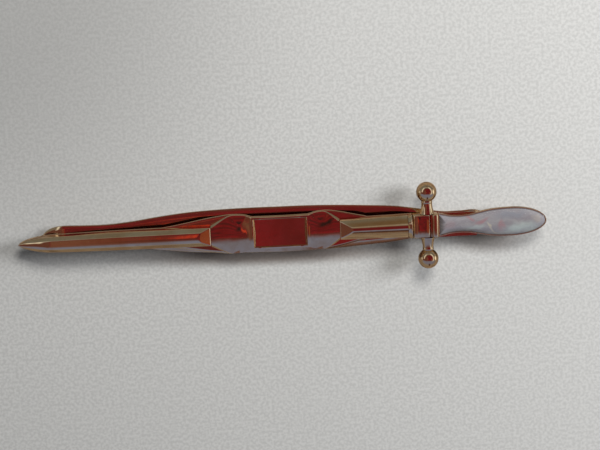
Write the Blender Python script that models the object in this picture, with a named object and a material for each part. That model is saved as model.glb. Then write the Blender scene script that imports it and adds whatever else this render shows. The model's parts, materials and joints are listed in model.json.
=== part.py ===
"""Sword-shaped tie clip with a sprung back arm.

The sword lies face up along X with its tip at -X. Z is up, out of the face, and Z = 0 is the
underside of the back arm, on which the clip lies. Sizes below are in millimetres; make_object
turns them into Blender's metres.
"""

import math

import bmesh
import bpy
from mathutils import Matrix, Vector

MM = 0.001
GAP = 0.05  # between soldered, cemented or seated pieces

# The sword from tip to pommel
LENGTH = 76.0
TIP_X = -LENGTH / 2
POMMEL_X = LENGTH / 2

# Front plate, which everything forward of the guard is soldered to
PLATE_BOTTOM = 1.9
PLATE_TOP = 2.3
PLATE_RIM = 0.08  # how far the plate shows beyond the bars
PLATE_END_X = 18.75

# Raised bars
BAR_HEIGHT = 2.05
BLADE_END_X = -10.25
BLADE_HALF_WIDTH = 1.37
BLADE_TAPER = 0.36
BLADE_TAPER_LENGTH = 9.0
BLADE_POINT_LENGTH = 5.0
BLADE_POINT_POWER = 0.62
BLADE_TIP_LEVEL = 0.4  # of the full height, at the tip
BLADE_RISE_LENGTH = 5.0
REAR_BAR_X = (8.35, 18.05)
REAR_BAR_HALF_WIDTHS = (1.5, 1.64)
HIP_LENGTH = 1.6  # sloped end facet of each bar
RIM_LEVEL = 0.7  # of the bar's height, where its flank turns into the chamfer
SHOULDER_LEVEL = 0.95
SHOULDER_WIDTH = 0.52  # of the half width, where the chamfer meets the crown

# Centre mount: two saddles and a recessed panel between them
RECESS_X = (-4.2, 3.7)
RECESS_LIP = 0.6  # length of the sloped end walls
RECESS_HALF_WIDTH = 2.02
RECESS_FLOOR = 0.18
RIDGE_HEIGHT = 0.8
VALLEY_OFFSET = 2.0
VALLEY_DEPTH = 0.22
SADDLE_RISE_RADIUS = 12.0
SADDLE_CROWN_RADIUS = 8.0

# Guard
COLLAR_X = (18.1, 18.75)
COLLAR_HALF_WIDTH = 1.72
COLLAR_HEIGHT = 2.2
GUARD_X = (18.8, 22.4)
GUARD_HALF_WIDTH = 1.66
GUARD_Z = (1.6, 4.2)
BALL_RADIUS = 1.46
BALL_X = 20.9
BALL_Y = 4.85
BALL_Z = 2.95
NECK_RADIUS = 0.76
NECK_FOOT_RADIUS = 1.05

# Grip
GRIP_X = 22.45
GRIP_BOTTOM = 2.35
GRIP_FLOOR = 0.25
GRIP_RIM_Z = 3.25
GRIP_WALL = 0.2
GRIP_ROUND_X = 33.0  # where the pommel's elliptical end starts
GRIP_HALF_WIDTH = 2.08
PEARL_CROWN = 0.35  # how far the inlay stands above the bezel

# Hinge, under the grip's waist
PIVOT_X = 27.5
PIVOT_Z = 1.25
PIN_RADIUS = 0.35
PIN_HALF_LENGTH = 1.55
PIN_FIT = 0.02
RUNNING_FIT = 0.05
BRACKET_X = (22.5, 28.6)
BRACKET_BASE = 0.3
BRACKET_BASE_Y = (-1.9, 1.55)  # it shows beside the grip's waist, more on the near side
BRACKET_HALF_WIDTH = 0.98  # to the outside of its ears
BRACKET_EAR = 0.3
EAR_RADIUS = 0.66
ARM_EAR_Y = (1.05, 1.38)
SPRING_WIRE = 0.26
SPRING_RADIUS = 0.54
SPRING_TURNS = 3
SPRING_PITCH = 0.29

# Back arm: tail, leaf, strip and curled lip in one piece of sheet
ARM_THICKNESS = 0.5
ARM_TAIL_X = 32.0
ARM_HALF_WIDTH = 1.45  # at the hinge
ARM_TAB_X = (28.5, 29.6)  # where the tail narrows to its thumb tab
ARM_TAB_HALF_WIDTH = 1.05
ARM_LEAN = 0.0165  # sideways lean of the arm for each millimetre left of ARM_LEAN_X
ARM_LEAN_X = 0.0
ARM_RISE_X = -12.0  # left of here the arm rises to meet the front plate
LIP_X = -31.2
LIP_END_X = -35.0
LIP_CURL_LENGTH = 1.6
LIP_SLOPE = 0.42
ARM_BEVEL_SLOPE = 0.4

ROUND_STEPS = 20


def smoothstep(t):
    """The cubic ease from 0 to 1 for t from 0 to 1, flat beyond."""
    t = min(max(t, 0.0), 1.0)
    return t * t * (3.0 - 2.0 * t)


def along(stations, x):
    """The value at x on a smooth curve through (x, value) stations, eased between each pair."""
    if x <= stations[0][0]:
        return stations[0][1]
    for (x0, v0), (x1, v1) in zip(stations, stations[1:]):
        if x <= x1:
            return v0 + (v1 - v0) * smoothstep((x - x0) / (x1 - x0))
    return stations[-1][1]


def spaced(start, end, count):
    """count evenly spaced numbers from start to end."""
    return [start + (end - start) * i / (count - 1) for i in range(count)]


def make_material(name, colour, roughness, metallic):
    """A Principled material with the piece's colour and finish."""
    material = bpy.data.materials.new(name)
    material.use_nodes = True
    shader = material.node_tree.nodes["Principled BSDF"]
    shader.inputs["Base Color"].default_value = (*colour, 1.0)
    shader.inputs["Roughness"].default_value = roughness
    shader.inputs["Metallic"].default_value = metallic
    return material


def gold(name, roughness=0.18):
    return make_material(name, (0.78, 0.57, 0.28), roughness, 1.0)


def make_object(name, bm, material, origin=(0.0, 0.0, 0.0)):
    """Put a bmesh in millimetres into the scene, in metres, with its origin at the given point."""
    bmesh.ops.recalc_face_normals(bm, faces=bm.faces)
    bmesh.ops.translate(bm, verts=bm.verts, vec=-Vector(origin))
    bmesh.ops.scale(bm, verts=bm.verts, vec=(MM, MM, MM))
    mesh = bpy.data.meshes.new(name)
    bm.to_mesh(mesh)
    bm.free()
    mesh.materials.append(material)
    piece = bpy.data.objects.new(name, mesh)
    piece.location = Vector(origin) * MM
    bpy.context.scene.collection.objects.link(piece)
    return piece


def shade_round(piece):
    piece.data.shade_smooth()
    piece.data.set_sharp_from_angle(angle=math.radians(30))


def prism(outline, z0, z1):
    """A flat shape with the given (x, y) outline, extruded from z0 to z1."""
    bm = bmesh.new()
    base = bm.faces.new([bm.verts.new((x, y, z0)) for x, y in outline])
    made = bmesh.ops.extrude_face_region(bm, geom=[base])
    top = [item for item in made["geom"] if isinstance(item, bmesh.types.BMVert)]
    bmesh.ops.translate(bm, verts=top, vec=(0.0, 0.0, z1 - z0))
    return bm


def side_prism(outline, y0, y1):
    """A shape with the given (x, z) side view, extruded from y0 to y1."""
    bm = bmesh.new()
    base = bm.faces.new([bm.verts.new((x, y0, z)) for x, z in outline])
    made = bmesh.ops.extrude_face_region(bm, geom=[base])
    far = [item for item in made["geom"] if isinstance(item, bmesh.types.BMVert)]
    bmesh.ops.translate(bm, verts=far, vec=(0.0, y1 - y0, 0.0))
    return bm


def loft(rings):
    """A closed skin over rings of points, with its two end rings filled."""
    bm = bmesh.new()
    rows = [[bm.verts.new(point) for point in ring] for ring in rings]
    count = len(rings[0])
    for row, after in zip(rows, rows[1:]):
        for i in range(count):
            j = (i + 1) % count
            bm.faces.new((row[i], row[j], after[j], after[i]))
    bm.faces.new(rows[0])
    bm.faces.new(rows[-1])
    return bm


def cylinder(x, z, radius, y0, y1, steps=ROUND_STEPS):
    """A round bar along Y."""
    turns = [2.0 * math.pi * i / steps for i in range(steps)]
    return side_prism([(x + radius * math.cos(a), z + radius * math.sin(a)) for a in turns], y0, y1)


def mirrored(upper):
    """The closed outline whose +Y half is the given points from -X to +X."""
    return upper + [(x, -y) for x, y in reversed(upper) if y > 0.0]


def modify(piece, cutter, operation):
    """Apply an exact Boolean with another object, which is then removed."""
    boolean = piece.modifiers.new(operation.title(), "BOOLEAN")
    boolean.operation = operation
    boolean.object = cutter
    depsgraph = bpy.context.evaluated_depsgraph_get()
    result = bpy.data.meshes.new_from_object(piece.evaluated_get(depsgraph))
    piece.modifiers.remove(boolean)
    piece.data = result
    bpy.data.objects.remove(cutter)


def bevel(piece, width, segments=2, angle=40.0):
    """Round the sharp edges of a piece."""
    rounding = piece.modifiers.new("Edges", "BEVEL")
    rounding.width = width * MM
    rounding.segments = segments
    rounding.limit_method = "ANGLE"
    rounding.angle_limit = math.radians(angle)


def blade_half_width(x):
    """The blade's taper, rounded in to a point at the tip."""
    reach = x - TIP_X
    width = BLADE_HALF_WIDTH - BLADE_TAPER * math.exp(-reach / BLADE_TAPER_LENGTH)
    if reach >= BLADE_POINT_LENGTH:
        return width
    inward = 1.0 - reach / BLADE_POINT_LENGTH
    return width * (1.0 - inward * inward) ** BLADE_POINT_POWER


def flare_half_width(x):
    """Half the width of the flared waistband either side of the recessed panel."""
    left = [(-17.5, 1.38), (-13.5, 2.05), (-10.0, 2.6), (-6.8, 2.85), (-5.2, 2.8), (-4.3, 2.42)]
    right = [(3.8, 2.42), (4.7, 2.76), (6.2, 2.82), (8.6, 2.5), (12.2, 1.7)]
    return along(left + right, x)


def plate_half_width(x):
    bars = blade_half_width(x) if x < 0.0 else along(list(zip(REAR_BAR_X, REAR_BAR_HALF_WIDTHS)), x)
    flare = flare_half_width(x) if -17.5 < x < 12.2 else 0.0
    return max(bars + PLATE_RIM, flare)


def make_front_plate():
    point = [TIP_X + 0.02 + BLADE_POINT_LENGTH * (i / 8) ** 1.6 for i in range(8)]
    xs = point + spaced(-32.0, PLATE_END_X, 60)
    outline = mirrored([(x, plate_half_width(x)) for x in xs])
    return make_object("front_plate", prism(outline, PLATE_BOTTOM, PLATE_TOP), gold("plate_gold"))


def bar_ring(x, half_width, rim, shoulder, ridge):
    """A bar's cross-section: upright flanks, a chamfer and a shallow crown."""
    base = PLATE_TOP + GAP
    inner = half_width * SHOULDER_WIDTH
    upper = [(half_width, 0.0), (half_width * 0.97, rim), (inner, shoulder)]
    right = [(x, y, base + z) for y, z in upper]
    left = [(x, -y, base + z) for y, z in reversed(upper)]
    return right + [(x, 0.0, base + ridge)] + left


def make_blade_bar():
    """The long bevelled bar from the tip to its hipped end."""
    hip_x = BLADE_END_X - HIP_LENGTH
    rings = []
    point = [TIP_X + 0.06 + BLADE_POINT_LENGTH * (i / 6) ** 1.6 for i in range(6)]
    for x in point + spaced(-32.0, hip_x, 8):
        rise = smoothstep((x - TIP_X) / BLADE_RISE_LENGTH)
        height = BAR_HEIGHT * (BLADE_TIP_LEVEL + (1.0 - BLADE_TIP_LEVEL) * rise)
        levels = (height * RIM_LEVEL, height * SHOULDER_LEVEL, height)
        rings.append(bar_ring(x, blade_half_width(x), *levels))
    rim = BAR_HEIGHT * RIM_LEVEL
    rings.append(bar_ring(BLADE_END_X, blade_half_width(BLADE_END_X), rim, rim + 0.02, rim + 0.03))
    return make_object("blade_bar", loft(rings), gold("blade_gold", 0.14))


def make_rear_bar():
    """The short bar between the centre mount and the guard, hipped at its left end."""
    start, end = REAR_BAR_X
    widths = list(zip(REAR_BAR_X, REAR_BAR_HALF_WIDTHS))
    rim = BAR_HEIGHT * RIM_LEVEL
    rings = [bar_ring(start, REAR_BAR_HALF_WIDTHS[0], rim, rim + 0.02, rim + 0.03)]
    for x in spaced(start + HIP_LENGTH, end, 4):
        rings.append(bar_ring(x, along(widths, x), rim, BAR_HEIGHT * SHOULDER_LEVEL, BAR_HEIGHT))
    return make_object("rear_bar", loft(rings), gold("bar_gold", 0.14))


def saddle_height(x, y):
    """Height above the plate: a ridge at each end of the recess, then a valley rising outward."""
    reach = max(RECESS_X[0] - x, x - RECESS_X[1], 0.0)
    if reach < VALLEY_OFFSET:
        middle = RIDGE_HEIGHT - VALLEY_DEPTH * smoothstep(reach / VALLEY_OFFSET)
    else:
        middle = RIDGE_HEIGHT - VALLEY_DEPTH + (reach - VALLEY_OFFSET) ** 2 / (2.0 * SADDLE_RISE_RADIUS)
    return middle - y * y / (2.0 * SADDLE_CROWN_RADIUS)


def make_centre_mount():
    """The two saddles and the recessed panel, one stamping."""
    base = PLATE_TOP + GAP
    x0 = BLADE_END_X + GAP
    x1 = REAR_BAR_X[0] - GAP
    xs = spaced(x0, RECESS_X[0], 9) + spaced(RECESS_X[0] + 0.3, RECESS_X[1] - 0.3, 4) + spaced(RECESS_X[1], x1, 8)
    shares = [1.0, 0.8, 0.5, 0.0, -0.5, -0.8, -1.0]
    rings = []
    for x in xs:
        half = flare_half_width(x) - PLATE_RIM
        top = [(x, half * s, base + saddle_height(x, half * s)) for s in shares]
        rings.append([(x, half, base)] + top + [(x, -half, base)])
    mount = make_object("centre_mount", loft(rings), gold("mount_gold"))
    floor = base + RECESS_FLOOR
    lid = base + RIDGE_HEIGHT + 0.4
    spread = RECESS_LIP * (lid - floor) / (RIDGE_HEIGHT - RECESS_FLOOR)
    corners = []
    for z, out in ((floor, 0.0), (lid, 1.0)):
        a = RECESS_X[0] + RECESS_LIP + 0.1 - spread * out
        b = RECESS_X[1] - RECESS_LIP - 0.1 + spread * out
        w = RECESS_HALF_WIDTH + 0.2 * out
        corners.append([(a, -w, z), (b, -w, z), (b, w, z), (a, w, z)])
    cutter = make_object("recess_cutter", loft(corners), mount.data.materials[0])
    modify(mount, cutter, "DIFFERENCE")
    return mount


def make_collar():
    """A band round the rear bar's end."""
    base = PLATE_TOP + GAP
    w = COLLAR_HALF_WIDTH
    top = COLLAR_HEIGHT
    side = [(w, 0.0), (w, top * 0.66), (w * 0.55, top * 0.94)]
    ring = side + [(0.0, top)] + [(-y, z) for y, z in reversed(side)]
    rings = [[(x, y, base + z) for y, z in ring] for x in COLLAR_X]
    collar = make_object("collar", loft(rings), gold("collar_gold"))
    bevel(collar, 0.1)
    return collar


def make_guard_block():
    """The block of the cross guard: a raised panel, a groove and an end ridge."""
    x0, x1 = GUARD_X
    z0, z1 = GUARD_Z
    top = [(x0, z1 - 0.25), (x0 + 0.15, z1), (x1 - 1.25, z1), (x1 - 1.1, z1 - 0.22),
           (x1 - 0.85, z1 - 0.22), (x1 - 0.7, z1), (x1 - 0.35, z1), (x1, z1 - 0.45)]
    outline = [(x0, z0)] + top + [(x1, z0)]
    block = side_prism(outline, -GUARD_HALF_WIDTH, GUARD_HALF_WIDTH)
    piece = make_object("guard_block", block, gold("guard_gold", 0.14))
    bevel(piece, 0.08, segments=1)
    return piece


def make_finial(name, side):
    """A ball on a concave neck, turned about Y, soldered to one side of the guard block."""
    foot = GUARD_HALF_WIDTH + GAP
    meet = math.sqrt(BALL_RADIUS ** 2 - NECK_RADIUS ** 2)
    neck_end = BALL_Y - meet
    profile = [(0.0, foot)]
    for t in spaced(0.0, 1.0, 6):
        radius = NECK_RADIUS + (NECK_FOOT_RADIUS - NECK_RADIUS) * (1.0 - t) ** 2.2
        profile.append((radius, foot + (neck_end - foot) * t))
    start = math.asin(NECK_RADIUS / BALL_RADIUS)
    for a in spaced(math.pi - start, 0.0, 11)[1:]:
        profile.append((BALL_RADIUS * math.sin(a), BALL_Y + BALL_RADIUS * math.cos(a)))
    bm = bmesh.new()
    points = [bm.verts.new((BALL_X + r, side * y, BALL_Z)) for r, y in profile]
    edges = [bm.edges.new(pair) for pair in zip(points, points[1:])]
    bmesh.ops.spin(bm, geom=points + edges, cent=(BALL_X, 0.0, BALL_Z), axis=(0.0, 1.0, 0.0),
                   angle=2.0 * math.pi, steps=ROUND_STEPS)
    bmesh.ops.remove_doubles(bm, verts=bm.verts, dist=0.002)
    finial = make_object(name, bm, gold("ball_gold", 0.08))
    shade_round(finial)
    return finial


def grip_half_width(x):
    """The grip's waisted outline, ending in an elliptical pommel."""
    if x > GRIP_ROUND_X:
        across = (x - GRIP_ROUND_X) / (POMMEL_X - GRIP_ROUND_X)
        return GRIP_HALF_WIDTH * math.sqrt(max(1.0 - across * across, 0.0))
    waisted = [(GRIP_X, 1.74), (23.4, 1.5), (24.6, 1.3), (25.7, 1.27), (26.8, 1.33), (28.2, 1.6), (29.8, 1.9), (31.2, 2.03)]
    return along(waisted + [(GRIP_ROUND_X, GRIP_HALF_WIDTH)], x)


def grip_outline(inset):
    """The grip's outline moved in by inset."""
    xs = spaced(GRIP_X + inset, GRIP_ROUND_X, 16)
    upper = [(x, grip_half_width(x) - inset) for x in xs]
    for a in spaced(math.pi / 2, 0.0, 9)[1:]:
        reach = POMMEL_X - GRIP_ROUND_X - inset
        across = (GRIP_HALF_WIDTH - inset) * math.sin(a)
        upper.append((GRIP_ROUND_X + reach * math.cos(a), across if a > 0.0 else 0.0))
    return mirrored(upper)


def make_grip_tray():
    """The thin gold tray whose rim is the bezel round the inlay."""
    tray = make_object("grip_tray", prism(grip_outline(0.0), GRIP_BOTTOM, GRIP_RIM_Z), gold("tray_gold"))
    cutter_shape = prism(grip_outline(GRIP_WALL), GRIP_BOTTOM + GRIP_FLOOR, GRIP_RIM_Z + 1.0)
    cutter = make_object("tray_cutter", cutter_shape, tray.data.materials[0])
    modify(tray, cutter, "DIFFERENCE")
    return tray


def make_pearl_inlay():
    """The mother-of-pearl slab cemented in the tray, with a softly crowned edge."""
    pearl = make_material("pearl", (0.62, 0.58, 0.60), 0.2, 0.0)
    bottom = GRIP_BOTTOM + GRIP_FLOOR + GAP
    top = GRIP_RIM_Z + PEARL_CROWN
    levels = [(bottom, 0.0), (GRIP_RIM_Z, 0.0), (top - 0.14, 0.22), (top, 0.55)]
    rings = []
    for z, inward in levels:
        outline = grip_outline(GRIP_WALL + GAP + inward)
        rings.append([(x, y, z) for x, y in outline])
    return make_object("pearl_inlay", loft(rings), pearl)


def ear_outline(up):
    """The (x, z) outline of an ear: round about the pivot, straight sides towards its plate."""
    root = GRIP_BOTTOM - BRACKET_BASE + 0.05 if up else ARM_THICKNESS - 0.2
    sign = -1.0 if up else 1.0
    turns = spaced(0.0, math.pi, 9)
    arc = [(PIVOT_X + EAR_RADIUS * math.cos(a), PIVOT_Z + sign * EAR_RADIUS * math.sin(a)) for a in turns]
    return arc + [(PIVOT_X - EAR_RADIUS - 0.25, root), (PIVOT_X + EAR_RADIUS + 0.25, root)]


def make_hinge_bracket():
    """A folded bracket under the grip: a base with two ears that hold the pin."""
    x0, x1 = BRACKET_X
    w = BRACKET_HALF_WIDTH
    top = GRIP_BOTTOM - GAP
    near, far = BRACKET_BASE_Y
    outline = [(x0, near), (x1 - 0.6, near), (x1, near + 0.6), (x1, far - 0.6), (x1 - 0.6, far), (x0, far)]
    base = prism(outline, top - BRACKET_BASE, top)
    bracket = make_object("hinge_bracket", base, gold("bracket_gold", 0.3))
    for side in (-1.0, 1.0):
        ear = side_prism(ear_outline(True), side * (w - BRACKET_EAR), side * w)
        modify(bracket, make_object("ear", ear, bracket.data.materials[0]), "UNION")
    bore = cylinder(PIVOT_X, PIVOT_Z, PIN_RADIUS + PIN_FIT, -w - 1.0, w + 1.0)
    modify(bracket, make_object("bore", bore, bracket.data.materials[0]), "DIFFERENCE")
    return bracket


def make_hinge_pin():
    """The riveted pin through both pairs of ears."""
    steel = make_material("pin_steel", (0.6, 0.58, 0.54), 0.3, 1.0)
    shape = cylinder(PIVOT_X, PIVOT_Z, PIN_RADIUS, -PIN_HALF_LENGTH, PIN_HALF_LENGTH)
    pin = make_object("hinge_pin", shape, steel)
    bevel(pin, 0.1, segments=1)
    return pin


def spring_route():
    """Points of the wire: one leg under the bracket, the coil, and one leg on the arm's tail."""
    half = SPRING_TURNS * SPRING_PITCH / 2.0
    leg = 2.6
    steps = SPRING_TURNS * 14
    route = [(PIVOT_X + leg, -half, PIVOT_Z + SPRING_RADIUS)]
    for i in range(steps + 8):
        a = math.pi / 2 + 2.0 * math.pi * i / 14
        y = -half + 2.0 * half * i / (steps + 7)
        route.append((PIVOT_X + SPRING_RADIUS * math.cos(a), y, PIVOT_Z + SPRING_RADIUS * math.sin(a)))
    route.append((PIVOT_X + leg, half, PIVOT_Z - SPRING_RADIUS))
    return route


def make_torsion_spring():
    """The coil round the pin that pushes the tail down and so the jaw shut."""
    steel = make_material("spring_steel", (0.5, 0.5, 0.5), 0.3, 1.0)
    curve = bpy.data.curves.new("torsion_spring", "CURVE")
    curve.dimensions = "3D"
    curve.bevel_depth = SPRING_WIRE / 2 * MM
    curve.bevel_resolution = 1
    curve.use_fill_caps = True
    curve.materials.append(steel)
    route = spring_route()
    line = curve.splines.new("POLY")
    line.points.add(len(route) - 1)
    for point, place in zip(line.points, route):
        point.co = (*(Vector(place) * MM), 1.0)
    spring = bpy.data.objects.new("torsion_spring", curve)
    bpy.context.scene.collection.objects.link(spring)
    return spring


def arm_half_width(x):
    """Half the arm's width: tail, leaf, strip and the rounded lip."""
    if x > ARM_TAIL_X - ARM_TAB_HALF_WIDTH:
        across = (x - ARM_TAIL_X + ARM_TAB_HALF_WIDTH) / ARM_TAB_HALF_WIDTH
        return max(ARM_TAB_HALF_WIDTH * math.sqrt(max(1.0 - across * across, 0.0)), 0.3)
    if x < LIP_X:
        across = (LIP_X - x) / (LIP_X - LIP_END_X)
        return max(1.8 * (1.0 - across ** 2.2) ** 0.7, 0.3)
    stations = [(LIP_X, 1.8), (-25.5, 1.62), (-20.5, 2.1), (-15.5, 2.75), (-9.0, 3.2), (-2.5, 3.35),
                (5.0, 3.3), (12.0, 2.95), (17.0, 2.6), (23.5, ARM_HALF_WIDTH), (ARM_TAB_X[0], ARM_HALF_WIDTH),
                (ARM_TAB_X[1], ARM_TAB_HALF_WIDTH)]
    for (x0, w0), (x1, w1) in zip(stations, stations[1:]):
        if x <= x1:
            return w0 + (w1 - w0) * (x - x0) / (x1 - x0)
    return ARM_TAB_HALF_WIDTH


def arm_top(x):
    """Height of the arm's upper face: flat, then rising to the plate, then curling down."""
    rise = PLATE_BOTTOM - GAP - ARM_THICKNESS
    if x >= ARM_RISE_X:
        return ARM_THICKNESS
    reach = (ARM_RISE_X - max(x, LIP_X)) / (ARM_RISE_X - LIP_X)
    height = ARM_THICKNESS + rise * reach * reach
    past = max(LIP_X - x, 0.0)
    curl = min(past, LIP_CURL_LENGTH)
    slope = 2.0 * rise / (ARM_RISE_X - LIP_X)
    height += slope * curl - (slope + LIP_SLOPE) * curl * curl / (2.0 * LIP_CURL_LENGTH)
    return height - LIP_SLOPE * (past - curl)


def arm_ring(x):
    """The arm's cross-section: sheet with bevelled upper edges, leaning sideways at the left."""
    half = arm_half_width(x)
    centre = ARM_LEAN * max(ARM_LEAN_X - x, 0.0)
    edge = min(0.12 + 0.19 * half, 0.75, 0.5 * half)
    drop = edge * ARM_BEVEL_SLOPE
    top = arm_top(x)
    bottom = top - ARM_THICKNESS
    return [(x, centre - half, bottom), (x, centre - half, top - drop), (x, centre - half + edge, top),
            (x, centre + half - edge, top), (x, centre + half, top - drop), (x, centre + half, bottom)]


def make_back_arm():
    """The flat leaf and tail of the sprung arm behind the sword, which turns on the hinge pin."""
    pivot = (PIVOT_X, 0.0, PIVOT_Z)
    tail = [ARM_TAIL_X - ARM_TAB_HALF_WIDTH * (1.0 - math.sin(a)) for a in spaced(0.0, math.pi / 2, 6)]
    xs = [ARM_RISE_X + GAP] + spaced(-9.0, 23.5, 14) + list(ARM_TAB_X) + tail
    arm = make_object("back_arm", loft([arm_ring(x) for x in xs]), gold("arm_gold"), pivot)
    inner, outer = ARM_EAR_Y
    for side in (-1.0, 1.0):
        ear = side_prism(ear_outline(False), side * inner, side * outer)
        modify(arm, make_object("ear", ear, arm.data.materials[0]), "UNION")
    bore = cylinder(PIVOT_X, PIVOT_Z, PIN_RADIUS + RUNNING_FIT, -outer - 1.0, outer + 1.0)
    modify(arm, make_object("bore", bore, arm.data.materials[0]), "DIFFERENCE")
    return arm


def make_arm_strip():
    """The strip that rises from the leaf to the plate and ends in the curled lip. The real arm is one sheet; it is two
    solids so that neither one's collision closes the jaw above the leaf."""
    lip = [LIP_END_X + (LIP_X - LIP_END_X) * (i / 8) ** 1.5 for i in range(8)]
    xs = lip + spaced(LIP_X, ARM_RISE_X, 13)
    return make_object("arm_strip", loft([arm_ring(x) for x in xs]), gold("arm_gold"), (PIVOT_X, 0.0, PIVOT_Z))


def main():
    for item in list(bpy.data.objects):
        bpy.data.objects.remove(item)
    make_front_plate()
    make_blade_bar()
    make_centre_mount()
    make_rear_bar()
    make_collar()
    make_guard_block()
    make_finial("finial_far", 1.0)
    make_finial("finial_near", -1.0)
    make_grip_tray()
    make_pearl_inlay()
    make_hinge_bracket()
    make_hinge_pin()
    make_torsion_spring()
    make_back_arm()
    make_arm_strip()


main()
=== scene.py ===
import json
import math

import bmesh
import bpy
import numpy as np
from bpy.props import FloatProperty, FloatVectorProperty, PointerProperty
from mathutils import Matrix, Vector


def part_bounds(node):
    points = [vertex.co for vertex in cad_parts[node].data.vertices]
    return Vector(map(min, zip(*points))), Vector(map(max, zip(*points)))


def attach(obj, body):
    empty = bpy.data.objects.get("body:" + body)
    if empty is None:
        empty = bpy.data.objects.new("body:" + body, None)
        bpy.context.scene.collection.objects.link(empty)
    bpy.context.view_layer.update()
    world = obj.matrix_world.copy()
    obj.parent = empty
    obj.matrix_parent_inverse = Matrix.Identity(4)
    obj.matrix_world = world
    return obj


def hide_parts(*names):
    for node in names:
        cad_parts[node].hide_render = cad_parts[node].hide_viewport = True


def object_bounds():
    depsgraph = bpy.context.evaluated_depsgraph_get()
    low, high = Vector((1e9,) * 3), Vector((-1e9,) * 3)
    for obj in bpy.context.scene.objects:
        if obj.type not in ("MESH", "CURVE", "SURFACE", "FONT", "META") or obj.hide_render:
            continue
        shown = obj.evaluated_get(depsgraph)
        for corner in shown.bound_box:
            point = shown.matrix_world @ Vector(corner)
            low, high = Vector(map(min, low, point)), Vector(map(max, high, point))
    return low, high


bl_info = {
    "name": "Sword Tie Clip",
    "version": (1, 0, 0),
    "blender": (4, 5, 0),
    "location": "3D View > Sidebar > Tie Clip",
    "description": "Builds a sword-shaped tie clip with a mother-of-pearl grip on its solid parts",
    "category": "Object",
}

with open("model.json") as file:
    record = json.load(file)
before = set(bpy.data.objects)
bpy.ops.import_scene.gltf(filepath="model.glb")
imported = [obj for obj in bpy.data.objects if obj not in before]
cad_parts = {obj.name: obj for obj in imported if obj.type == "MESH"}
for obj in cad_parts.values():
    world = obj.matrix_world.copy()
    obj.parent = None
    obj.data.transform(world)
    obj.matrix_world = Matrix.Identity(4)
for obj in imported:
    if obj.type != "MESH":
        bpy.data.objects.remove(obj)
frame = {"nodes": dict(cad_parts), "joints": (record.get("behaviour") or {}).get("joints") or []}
FULL_LOW, FULL_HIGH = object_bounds()

MM = 0.001


def part_box(node):
    """The lowest and highest corner of a solid part, in millimetres."""
    low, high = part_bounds(node)
    return np.array(low) / MM, np.array(high) / MM


# Levels and ends that follow from the solid parts, in millimetres
BLADE_LOW, BLADE_HIGH = part_box("blade_bar")
REAR_LOW, REAR_HIGH = part_box("rear_bar")
MOUNT_LOW, MOUNT_HIGH = part_box("centre_mount")
PLATE_LOW, PLATE_HIGH = part_box("front_plate")
COLLAR_LOW, COLLAR_HIGH = part_box("collar")
GUARD_LOW, GUARD_HIGH = part_box("guard_block")
BALL_LOW, BALL_HIGH = part_box("finial_far")
TRAY_LOW, TRAY_HIGH = part_box("grip_tray")
PEARL_LOW, PEARL_HIGH = part_box("pearl_inlay")
PIN_HIGH = part_box("hinge_pin")[1]
ARM_LOW, ARM_HIGH = part_box("arm_strip")[0], part_box("back_arm")[1]
TIP = BLADE_LOW[0]
POINT_LENGTH = 5.0  # over which the blade draws in to its tip
FLARE_START, FLARE_END = -17.5, 12.2  # ends of the swelling round the sunk panel
RECESS_START, RECESS_END = -4.2, 3.7  # ends of the sunk panel
POMMEL_START = 33.0  # where the grip's elliptical end begins
RISE_START, LIP_START = -12.0, -31.2  # the arm climbs to the plate from the one to the other
SHEET = 0.5  # thickness of the arm
WORN = 0.09  # how far the ends of the bars are worn round
PIVOT = np.array(frame["joints"][0]["pos_m"]) / MM


# ---------------------------------------------------------------- curves and surfaces


def ease(t):
    """The cubic ease from 0 to 1."""
    t = np.clip(t, 0.0, 1.0)
    return t * t * (3.0 - 2.0 * t)


def drawn_through(stations, x):
    """A smooth curve through (x, value) stations: cubic pieces whose slope at a station is the slope between its
    neighbours."""
    at, value = np.array(stations, float).T
    slope = np.gradient(value, at)
    x = np.clip(x, at[0], at[-1])
    i = np.clip(np.searchsorted(at, x, side="right") - 1, 0, len(at) - 2)
    span = at[i + 1] - at[i]
    t = (x - at[i]) / span
    return (
        (2 * t**3 - 3 * t**2 + 1) * value[i]
        + (t**3 - 2 * t**2 + t) * span * slope[i]
        + (3 * t**2 - 2 * t**3) * value[i + 1]
        + (t**3 - t**2) * span * slope[i + 1]
    )


def lower_of(a, b, softness):
    """The lower of two heights, with their crossing rounded over: the mean less half the length of (difference,
    softness)."""
    return 0.5 * (a + b - np.sqrt((a - b) ** 2 + softness**2))


def higher_of(a, b, softness):
    """The higher of two heights, with their crossing rounded: the mean plus half the length of (difference,
    softness)."""
    return 0.5 * (a + b + np.sqrt((a - b) ** 2 + softness**2))


def rounded(corners, radii, steps=5):
    """A closed outline with each corner eased: a parabola from a point one radius back along the side before it
    to a point one radius along the side after it, both within 0.45 of the side. Works on one outline or a stack."""
    corners = np.asarray(corners, float)
    radii = np.asarray(radii, float)[:, None]

    def reach(side):
        length = np.maximum(np.linalg.norm(side, axis=-1, keepdims=True), 1e-9)
        return side * np.minimum(radii / length, 0.45)

    t = np.linspace(0.0, 1.0, steps)[:, None]
    start = (corners + reach(np.roll(corners, 1, axis=-2) - corners))[..., None, :]
    end = (corners + reach(np.roll(corners, -1, axis=-2) - corners))[..., None, :]
    arc = start * (1 - t) ** 2 + corners[..., None, :] * 2 * t * (1 - t) + end * t**2
    return arc.reshape(corners.shape[:-2] + (-1, 2))


def carried_along(xs, sections):
    """(y, z) sections carried along X: point (i, j) is (x of i, y and z of section i at j)."""
    x = np.broadcast_to(xs[:, None, None], sections.shape[:2] + (1,))
    return np.concatenate([x, sections], -1)


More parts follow.
